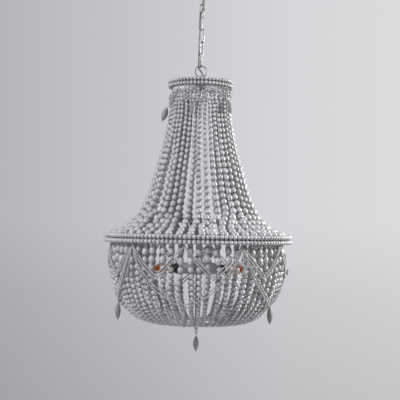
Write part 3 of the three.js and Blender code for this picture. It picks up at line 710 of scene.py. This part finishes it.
# Amber glass, deeper towards its tip
def make_glass(name, deep, light):
    material, tree, shader = new_material(
        name, Roughness=0.06, IOR=1.45, Transmission_Weight=0.55, Coat_Weight=0.6, Coat_Roughness=0.03
    )
    place = object_place(tree)
    swirl = noise(tree, place, scale=38.0, detail=2.0)
    edge = node(tree, "ShaderNodeLayerWeight", {"Blend": 0.35}).outputs["Facing"]
    grain = node(tree, "ShaderNodeSeparateXYZ", {"Vector": attribute(tree, "grain", "Vector")})
    along = ranged(tree, grain.outputs["Z"], 0.0, 1.0, *GLASS_SPAN)
    body = ramp(tree, mixed(tree, 0.3, along, swirl), (0.2, light), (0.6, deep))
    tree.links.new(mixed(tree, edge, body, (*deep, 1)), shader.inputs["Base Color"])
    ripple = noise(tree, place, scale=260.0, detail=1.0)
    bump(tree, shader, ripple, strength=0.05, distance=0.0003)
    return material


WOOD = make_wood("grey_washed_wood", dark=(0.2, 0.195, 0.2), middle=(0.36, 0.354, 0.364),
                 pale=(0.55, 0.547, 0.563), fine=(900.0, 900.0, 160.0), roughness=(0.25, 0.42))
DROP_WOOD = make_wood("smooth_grey_wood", dark=(0.11, 0.11, 0.112), middle=(0.17, 0.17, 0.174),
                      pale=(0.28, 0.28, 0.285), fine=(700.0, 700.0, 90.0), roughness=(0.5, 0.7))
STEEL = make_metal("satin_steel", colour=(0.33, 0.33, 0.335), dull=(0.2, 0.2, 0.205),
                   roughness=(0.34, 0.55))
PAINT = make_paint("grey_paint", colour=(0.27, 0.27, 0.28), dust=(0.4, 0.4, 0.41),
                   roughness=(0.5, 0.7), metallic=0.1)
PLASTIC = make_paint("black_plastic", colour=(0.012, 0.012, 0.013), dust=(0.04, 0.04, 0.042),
                     roughness=(0.35, 0.55))
BRAID = make_braid("cord_braid", dark=(0.1, 0.1, 0.085), pale=(0.24, 0.24, 0.21))
THREAD = make_braid("strand_thread", dark=(0.3, 0.3, 0.29), pale=(0.5, 0.5, 0.48))
AMBER = make_glass("amber_glass", deep=(0.62, 0.17, 0.01), light=(1, 0.55, 0.05))
GOLD = make_metal("warm_filament_foil", colour=(1.0, 0.62, 0.12), dull=(0.85, 0.36, 0.05),
                  roughness=(0.15, 0.35))


# Stage paint; the wall is seen with painted light and shade, lighter towards the key light and darker
# low down
def stage_material(name, plain, seen):
    material, tree, shader = new_material(name, Roughness=0.9)
    place = object_place(tree)
    cloud = noise(tree, place, scale=1.3, detail=2.0)
    paler = tuple(c * PAINT_MOTTLE for c in plain)
    tree.links.new(ramp(tree, cloud, (0.3, plain), (0.7, paler)), shader.inputs["Base Color"])
    if seen:
        parts = node(tree, "ShaderNodeSeparateXYZ", {"Vector": place})
        across = ramp(tree, ranged(tree, parts.outputs["X"], 0.0, 1.0, *WALL_WIDTH), *seen[0])
        up = ramp(tree, ranged(tree, parts.outputs["Z"], 0.0, 1.0, *WALL_HEIGHT), *seen[1])
        colour = mixed(tree, 1.0, across, up, "MULTIPLY")
        # Painted light and shade, given out to camera, glossy and transmission rays
        painted_light_glow = node(tree, "ShaderNodeEmission", {"Color": colour, "Strength": 1.0})
        path = node(tree, "ShaderNodeLightPath")
        share, other = path.outputs["Is Camera Ray"], painted_light_glow
        for ray in ("Is Glossy Ray", "Is Transmission Ray"):
            either = {0: share, 1: path.outputs[ray]}
            share = node(tree, "ShaderNodeMath", either, operation="MAXIMUM").outputs[0]
    else:
        share = node(tree, "ShaderNodeNewGeometry").outputs["Backfacing"]
        other = node(tree, "ShaderNodeBsdfTransparent")
    mix = node(tree, "ShaderNodeMixShader", {0: share, 1: shader.outputs[0], 2: other.outputs[0]})
    tree.links.new(mix.outputs[0], tree.nodes["Material Output"].inputs["Surface"])
    return material


def flat(name, corners, material):
    mesh = bpy.data.meshes.new(name)
    mesh.from_pydata(corners, [], [(0, 1, 2, 3)])
    mesh.materials.append(material)
    made = link_object(name, mesh)


def area_light(name, place, size, power, colour):
    data = bpy.data.lights.new(name, "AREA")
    data.shape = "DISK"
    data.size = size
    data.energy = power
    data.color = colour
    light = link_object(name, data)
    light.location = place
    light.rotation_euler = (Vector(LAMPS_FACE) - Vector(place)).to_track_quat("-Z", "Y").to_euler()


def make_world():
    world = bpy.data.worlds.new("world")
    bpy.context.scene.world = world
    world.use_nodes = True
    tree = world.node_tree
    back = tree.nodes["Background"]
    direction = node(tree, "ShaderNodeTexCoord").outputs["Generated"]
    way = node(tree, "ShaderNodeSeparateXYZ", {"Vector": direction})
    height = ranged(tree, way.outputs["Z"], 0.0, 1.0, *WORLD_SPAN)
    tree.links.new(ramp(tree, height, (0.0, WORLD_LOW), (1.0, WORLD_HIGH)), back.inputs["Color"])
    back.inputs["Strength"].default_value = WORLD_STRENGTH
    seen = node(tree, "ShaderNodeBackground", {"Color": WORLD_SEEN, "Strength": 1.0})
    path = node(tree, "ShaderNodeLightPath")
    mix = node(tree, "ShaderNodeMixShader",
               {0: path.outputs["Is Camera Ray"], 1: back.outputs[0], 2: seen.outputs[0]})
    tree.links.new(mix.outputs[0], tree.nodes["World Output"].inputs["Surface"])


# Wall, floor, lamps and world
def make_stage():
    wall = stage_material("wall_paint", WALL_PAINT, (WALL_PAINTED_LIGHT_ACROSS, WALL_PAINTED_SHADE_UP))
    floor = stage_material("floor_paint", FLOOR_PAINT, None)
    edge = STAGE_HALF
    flat("backdrop", [(-edge, WALL_Y, FLOOR_Z), (edge, WALL_Y, FLOOR_Z), (edge, WALL_Y, WALL_TOP),
                      (-edge, WALL_Y, WALL_TOP)], wall)
    flat("floor", [(-edge, -edge, FLOOR_Z), (edge, -edge, FLOOR_Z), (edge, WALL_Y, FLOOR_Z),
                   (-edge, WALL_Y, FLOOR_Z)], floor)
    for lamp in STUDIO_LAMPS:
        area_light(*lamp)
    make_world()
    bpy.context.scene.view_settings.view_transform = "Standard"


# Supply cord, in lengths that each run past one joint of the chain
def make_cord():
    route = np.vstack([smooth(CORD_ROUTE[:-1], LINE_STEPS), CORD_ROUTE[-1:]])
    heights = -route[:, 2]
    for i, ((above, joint), (below, _)) in enumerate(zip(CHAIN, CHAIN[1:])):
        top, foot = CORD_CUTS[i], CORD_CUTS[i + 1]
        last = foot if i == len(CHAIN) - 2 else foot - CORD_LAP
        stops = np.concatenate([np.arange(-top, min(-last, CORD_STRAIGHT), CORD_STEP), [-last]])
        line = np.stack([np.interp(stops, heights, route[:, k]) for k in range(3)], axis=1)
        shape = tube(line, CORD_RADIUS, CORD_SIDES)
        shape.grain[:, 2] += lengths(route)[np.searchsorted(heights, -top)]
        made = piece(f"cord_{i + 1}", [(BRAID, [shape])], None, [])
        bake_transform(made)
        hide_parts("supply_cord")


# The middle line of a strand, from its outer radius, height and bead size, below its tie wire
def middle_line(rows, tie, bare):
    edge = smooth(rows, LINE_STEPS)
    along = directions(edge[:, :2])
    out = np.stack([-along[:, 1], along[:, 0]], axis=1)
    middle = edge[:, :2] - out * edge[:, 2:] / 2
    line = np.column_stack([middle, edge[:, 2]])
    first = np.array([[*tie, rows[0][2]]])
    return np.vstack([first, line[line[:, 1] < tie[1] - bare]])


def direction_at(azimuth):
    angle = math.radians(azimuth - 90)
    return np.array([math.cos(angle), math.sin(angle)])


# How far partings push a strand aside at each height
def parted(azimuths, heights, partings):
    shift = np.zeros_like(azimuths)
    for at, width, top, foot in partings:
        away = (azimuths - at + 180) % 360 - 180
        fades = [-top - PARTING_TOP_FADE, -top + PARTING_TOP_FADE,
                 -foot - PARTING_FOOT_FADE, -foot + PARTING_FOOT_FADE]
        fade = np.interp(-heights, fades, [0, 1, 1, 0])
        shift += np.sign(away) * width * np.exp(-np.abs(away) / PARTING_REACH) * fade
    return azimuths + shift


# One strand's beads and thread, where its line, azimuths and depths are given at each point
def strand(line, azimuths, depths, start, long_table):
    angles = np.radians(azimuths - 90)
    radii = line[:, 0] - depths
    points = np.stack([radii * np.cos(angles), radii * np.sin(angles), line[:, 1]], axis=1)
    run = lengths(points)
    long = np.interp(-line[:, 1], [-z for z, _ in long_table], [share for _, share in long_table])
    long = long * (1 + rng.normal(0, LENGTH_SPREAD))

    def size_at(at):
        return float(np.interp(at, run, line[:, 2]))

    def long_at(at):
        return float(np.interp(at, run, long))

    first = start[0] + start[1] * size_at(0)
    string = threaded(LARGE_BEAD, points, size_at, first, long_at=long_at)
    return string, tube(points[::2], THREAD_RADIUS, THREAD_SIDES)


def tie_wire(tie, start):
    arc = circle(tie[0], TIE_STEPS, start - 90, start - 90 + PANEL_TURN)
    return tube(arc, TIE_RADIUS, sides=8).moved(z=tie[1])


def make_cone(panel):
    line = middle_line(CONE_LINE, CONE_TIE, CONE_BARE)
    crowd = np.interp(-line[:, 1], [-h for h in CROWD_HEIGHTS], [0, 1, 1, 0])
    start = PANEL_START + panel * PANEL_TURN
    evens = start + (np.arange(CONE_STRANDS) + 0.5) * PANEL_TURN / CONE_STRANDS
    inner = {int(np.argmin(np.abs(evens - at))): at for at in CONE_INNER[panel]}
    wood, thread, column = [], [tie_wire(CONE_TIE, start)], 0
    for i, even in enumerate(evens):
        if i in inner:
            crowded, depth = inner[i], CONE_INNER_DEPTH
        else:
            crowded = start - PANEL_START + column * COLUMN_TURN
            depth = COLUMN_STAGGER * (column % 2)
            column += 1
        azimuths = even + (crowded - even + rng.normal(0, CONE_UNEVEN)) * crowd
        azimuths = parted(azimuths, line[:, 1], CONE_PARTINGS)
        phase = CONE_PHASE[0] * (i % 2) + rng.uniform(0, CONE_PHASE[1])
        string, core = strand(line, azimuths, depth * crowd, (CONE_BARE, phase), CONE_LENGTHS)
        wood.append(string)
        thread.append(core)
    number = panel + 1
    piece(f"cone_beads_{number}", [(WOOD, wood), (THREAD, thread)], "chandelier",
          [f"cone_strands_{number}"])


def make_basket(panel):
    line = middle_line(BASKET_LINE, BASKET_TIE, BASKET_BARE)
    start = PANEL_START + panel * PANEL_TURN
    loose = np.interp(-line[:, 1], BASKET_LOOSE, (0, 1))
    wander = np.sin(np.linspace(0, np.pi, len(line)))
    wood, thread = [], [tie_wire(BASKET_TIE, start)]
    for i in range(BASKET_STRANDS):
        even = start + BASKET_SHIFT + (i + 0.5) * PANEL_TURN / BASKET_STRANDS
        if BASKET_NOMINAL[0] < even < BASKET_NOMINAL[-1]:
            even = float(np.interp(even, BASKET_NOMINAL, BASKET_SPREAD))
        azimuths = even + rng.normal(0, BASKET_UNEVEN) * wander
        azimuths = parted(azimuths, line[:, 1], BASKET_PARTINGS)
        phase = BASKET_PHASE[0] * (i % 2) + rng.uniform(0, BASKET_PHASE[1])
        depths = rng.normal(0, BASKET_DEPTH_SPREAD) * loose
        string, core = strand(line, azimuths, depths, (BASKET_BARE, phase), BASKET_LENGTHS)
        wood.append(string)
        thread.append(core)
    number = panel + 1
    piece(f"basket_beads_{number}", [(WOOD, wood), (THREAD, thread)], "chandelier",
          [f"basket_strands_{number}"])


# Closed rows of beads round the crown and the hoop
def make_row(name, node_name, radius, size, count, z):
    ring = circle(radius, count)
    ring[:, 2] = z
    along = directions(ring, closed=True)
    long = 2 * math.pi * radius / count / size
    row = beads(LARGE_BEAD, ring, along, size, ROW_TILT, long)
    thread = tube(circle(radius, ROW_THREAD_STEPS), ROW_THREAD_RADIUS, sides=6, closed=True)
    thread = thread.moved(z=z)
    piece(name, [(WOOD, [row]), (THREAD, [thread])], "chandelier", [node_name])


# Swags of two strings of small beads that part from each other between their knots
def edge_radius(rows, z):
    table = smooth(rows, LINE_STEPS)
    return float(np.interp(-z, -table[:, 1], table[:, 0]))


def swag_line(rows, start, end, knot_z, sag, shape, offset):
    shares = np.linspace(0, 1, SWAG_STEPS + 1)
    points = []
    for share in shares:
        z = knot_z - sag * (1 - shape(abs(2 * share - 1)))
        radius = edge_radius(rows, z) + SWAG_STAND
        points.append((*(radius * direction_at(start + (end - start) * share)), z))
    line = np.array(points)
    along = directions(line)
    out = line * (1, 1, 0)
    out /= np.linalg.norm(out, axis=1, keepdims=True)
    across = np.cross(along, out)
    part = np.minimum(1, SWAG_OPENING * np.sin(np.pi * shares))
    return line + across * (offset * part)[:, None]


# How high a swag lies above its low point, as a share of its sag
def deep(share):
    return (share + share**4) / 2


def shallow(share):
    return (4 * share + share**2) / 5


def double_string(rows, start, end, knot_z, sag, shape, size):
    made = []
    for offset in (-SWAG_SPREAD, SWAG_SPREAD):
        line = swag_line(rows, start, end, knot_z, sag, shape, offset)
        made.append(threaded(SMALL_BEAD, line, lambda run: size, tilt=SWAG_TILT, space=SWAG_SPACE))
    return made


# One bead with its hole upright
def lone_bead(place, size):
    return beads(LARGE_BEAD, np.array([place], float), np.array([[0.0, 0.0, 1.0]]), size, LONE_TILT)


# A bead where swags meet or at a low point, and its thread
def knot(rows, azimuth, z, tied_z, size):
    radius = edge_radius(rows, z) + SWAG_STAND - KNOT_SINK
    x, y = radius * direction_at(azimuth)
    thread = tube([(x, y, tied_z), (x, y, (tied_z + z) / 2), (x, y, z)], KNOT_THREAD_RADIUS, sides=6)
    return lone_bead((x, y, z), size), thread


def make_basket_swags():
    wood, thread = [], []
    half = PANEL_TURN / 2
    for i in range(PANELS):
        main = PANEL_START + (i + 0.5) * PANEL_TURN
        wood += double_string(BASKET_LINE, main, main + PANEL_TURN, KNOT_Z, DEEP_SAG, deep, SWAG_BEAD)
        for start in (main, main + half):
            end = start + half
            wood += double_string(BASKET_LINE, start, end, KNOT_Z, SHALLOW_SAG, shallow, SWAG_BEAD)
            bead, cord = knot(BASKET_LINE, start, KNOT_Z, KNOT_TIE_Z, KNOT_BEAD)
            low_z = KNOT_Z - SHALLOW_SAG - LOW_BEAD_HANG
            low, _ = knot(BASKET_LINE, (start + end) / 2, low_z, KNOT_Z, LOW_BEAD)
            wood += [bead, low]
            thread.append(cord)
    piece("basket_swag_beads", [(WOOD, wood), (THREAD, thread)], "chandelier", ["basket_swags"])


def make_crown_swags():
    wood, thread = [], []
    for start, end, sag in zip(CROWN_KNOTS, CROWN_KNOTS[1:], CROWN_SAGS):
        wood += double_string(CONE_LINE, start, end, CROWN_KNOT_Z, sag, shallow, CROWN_SWAG_BEAD)
        bead, cord = knot(CONE_LINE, start, CROWN_KNOT_Z, CROWN_TIE_Z, CROWN_KNOT_BEAD)
        wood.append(bead)
        thread.append(cord)
    piece("crown_swag_beads", [(WOOD, wood), (THREAD, thread)], "chandelier", ["crown_swags"])


# An oval drop that hangs from the origin on a short thread
def oval(length, radius, thread):
    outline = [(0, -thread)]
    for share in np.linspace(0, 1, OVAL_ROWS)[1:-1]:
        width = radius * math.sin(math.pi * share**OVAL_EARLY) ** OVAL_BLUNT
        outline.append((width, -thread - length * share))
    outline.append((0, -thread - length))
    shape = lathe(outline, OVAL_SIDES)
    shape.grain = shape.points + rng.uniform(0, GRAIN_REACH, 3)
    shape.tone[:] = rng.beta(TONE_SHAPE, TONE_SHAPE)
    return shape


# A shape hung at an azimuth, with its foot leaning outwards
def hung(shape, azimuth, lean, radius, z):
    x, y = radius * direction_at(azimuth)
    return shape.turned(-lean, "Y").turned(azimuth - 90).moved(x, y, z)


def loop_thread(thread, radius):
    line = [(0, 0, 2.2), (0.5, 0, 0.8), (0, 0, -thread / 2), (0, 0, -thread - 1)]
    return tube(line, radius, sides=7)


# A drop on its thread, which holds a string of beads in a tassel
def make_drop(name, body, size, azimuth, place, string=None):
    shapes = [] if string is None else [(WOOD, [hung(string, azimuth, *place)])]
    radius = DROP_THREAD_RADIUS if string is None else TASSEL_THREAD_RADIUS
    drop = hung(oval(*size), azimuth, *place)
    thread = hung(loop_thread(size[2], radius), azimuth, *place)
    piece(name, [(DROP_WOOD, [drop]), *shapes, (THREAD, [thread])], body, [body])


def make_drops():
    for i in range(PANELS):
        number = i + 1
        low = PANEL_START + i * PANEL_TURN
        make_drop(f"basket_oval_{number}", f"basket_drop_{number}", BASKET_OVAL, low, BASKET_DROP_PLACE)
        middle = (CROWN_KNOTS[i] + CROWN_KNOTS[i + 1]) / 2
        place = (CROWN_DROP_LEAN, *CROWN_DROP_PLACES[i])
        make_drop(f"crown_oval_{number}", f"crown_drop_{number}", CROWN_OVAL, middle, place)
        string = threaded(SMALL_BEAD, np.array(TASSEL_STRING, float), lambda run: TASSEL_BEAD)
        high = low + PANEL_TURN / 2
        make_drop(f"tassel_{number}", f"tassel_drop_{number}", TASSEL_OVAL, high, TASSEL_PLACE, string)


# Finial under the base
def finial_eye(z, turn):
    return eye(*FINIAL_EYE, z, turn, steps=28, sides=10)


def make_finial():
    wire = tube(FINIAL_WIRE, FINIAL_WIRE_RADIUS, sides=8)
    parts = [(WOOD, [lone_bead((0, 0, z), size) for z, size in FINIAL_BEADS]),
             (STEEL, [wire, finial_eye(FINIAL_EYE_Z, 0)])]
    piece("finial_bead_pair", parts, "chandelier", ["finial_beads"])
    drop = oval(*FINIAL_OVAL).moved(z=FINIAL_HOOK_Z - FINIAL_EYE[0])
    stalk = tube(FINIAL_STALK, FINIAL_WIRE_RADIUS, sides=8)
    parts = [(DROP_WOOD, [drop]), (STEEL, [finial_eye(FINIAL_HOOK_Z, 90), stalk])]
    piece("finial_oval", parts, "finial_drop", ["finial_drop"])


# Chain links, bent from wire with a weld on one side
def link_path():
    path = []
    signs = ((1, 1), (-1, 1), (-1, -1), (1, -1))
    for k, (across, along) in enumerate(signs):
        for share in np.linspace(0, 1, LINK_CORNER_STEPS):
            angle = math.pi * (k + share) / 2
            x = across * LINK_ACROSS + LINK_CORNER * math.cos(angle)
            path.append((x, 0, along * LINK_ALONG + LINK_CORNER * math.sin(angle)))
    return path + [(LINK_ACROSS + LINK_CORNER, 0, place) for place in WELD_PLACES]


def make_chain():
    path = link_path()
    radii = np.full(len(path), LINK_RADIUS)
    radii[-4:-1] = WELD_RADII
    for i, turn in enumerate(LINK_TURNS):
        number = i + 1
        shape = tube(path, radii, sides=14, closed=True).turned(turn)
        shape = shape.moved(z=LINK_TOP_Z - LINK_PITCH * i)
        piece(f"wire_link_{number}", [(STEEL, [shape])], f"link_{number}",
              [f"chain_link_{number}"])
    piece("wire_ring", [(STEEL, [eye(*RING)])], "ring", ["hanging_ring"])


# Canopy cup and loop, and the stem with its loop
def make_steel(name, shapes, body, node_name):
    piece(name, [(STEEL, shapes)], body, [node_name], METAL_CREASE)


def make_fitting():
    outer = smooth(CUP_OUTLINE, steps=4)
    inner = outer * CUP_HOLLOW
    outline = [*map(tuple, outer), *CUP_FLOOR, *map(tuple, inner[::-1])]
    make_steel("spun_cup", [lathe(outline, sides=72, closed=True)], "ceiling_fitting", "canopy_cup")
    loop = [eye(*LOOP_EYE), lathe(LOOP_COLLAR, sides=40), lathe(LOOP_STUD, sides=28)]
    make_steel("cup_loop", loop, "ceiling_fitting", "canopy_loop")
    loop = [eye(*STEM_EYE), lathe(STEM_COLLAR, sides=40), lathe(STEM_STUD, sides=24)]
    make_steel("stem_eye", loop, "chandelier", "stem_loop")
    make_steel("stem_tube", [lathe(STEM_WALL, sides=32, closed=True)], "chandelier", "stem")


# Lamps; level outlines run up before they are turned, so the faces of these pieces look inwards
def level(outline, turn, sides=36):
    return lathe(outline, sides).turned(90, "Y").turned(turn).moved(z=LAMP_Z)


# Rows of an outline with ribs all along it
def ribbed(radius, start, end, rib, depth):
    rows = []
    for stop in np.arange(start, end, rib):
        rows.append((radius - depth, stop))
        rows += [(radius, stop + rib * share) for share in RIB_FLAT_SHARES]
    return rows + [(radius - depth, end)]


def make_lamp(number, turn):
    sleeve = [*HOLDER_BACK, *ribbed(*HOLDER_RIBS), *HOLDER_MOUTH]
    piece(f"holder_{number}", [(PLASTIC, [level(sleeve, turn)])], "chandelier",
          [f"lamp_holder_{number}"], LAMP_CREASE)
    glass = [GLASS_FOOT, *map(tuple, smooth(GLASS_OUTLINE, steps=3)), GLASS_TIP]
    cap = [*CAP_BACK, *ribbed(*CAP_RIBS), *CAP_MOUTH]
    parts = [(AMBER, [level(glass, turn)]), (STEEL, [level(cap, turn, sides=30)]),
             (GOLD, [level(FOIL_OUTLINE, turn, sides=24)])]
    body = f"bulb_{number}"
    piece(f"candle_bulb_{number}", parts, body, [body], BULB_CREASE)


def make_lamps():
    parts = [lathe(LAMP_CORE, sides=56, closed=True)]
    parts += [level(LAMP_CUP, turn, sides=44) for turn in LAMP_TURNS]
    piece("lamp_body", [(PAINT, parts)], "chandelier", ["lamp_cluster"], LAMP_CREASE)
    for i, turn in enumerate(LAMP_TURNS):
        make_lamp(i + 1, turn)


# Parts that keep their plain shape, with softened edges and their own materials
def dress_nodes():
    finishes = {
        "ceiling_bracket": STEEL, "stem_nut": STEEL, "cord_grommet": PLASTIC,
        "terminal_block": PLASTIC, "crown_frame": PAINT, "hoop_frame": PAINT, "base_frame": PAINT,
    }
    for name, material in finishes.items():
        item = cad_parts[name]
        for slot in item.material_slots:
            slot.material = material
        edge = item.modifiers.new("edge", "BEVEL")
        edge.width = EDGE_WIDTH
        edge.segments = EDGE_SEGMENTS
        edge.limit_method = "ANGLE"


make_camera()
make_cord()
make_stage()
for panel in range(PANELS):
    make_cone(panel)
    make_basket(panel)
for name, radius, size, count, middle, half in ROWS:
    make_row(f"{name}_row_upper", f"{name}_beads_upper", radius, size, count, middle + half)
    make_row(f"{name}_row_lower", f"{name}_beads_lower", radius, size, count, middle - half)
make_basket_swags()
make_crown_swags()
make_drops()
make_finial()
make_chain()
make_fitting()
make_lamps()
dress_nodes()
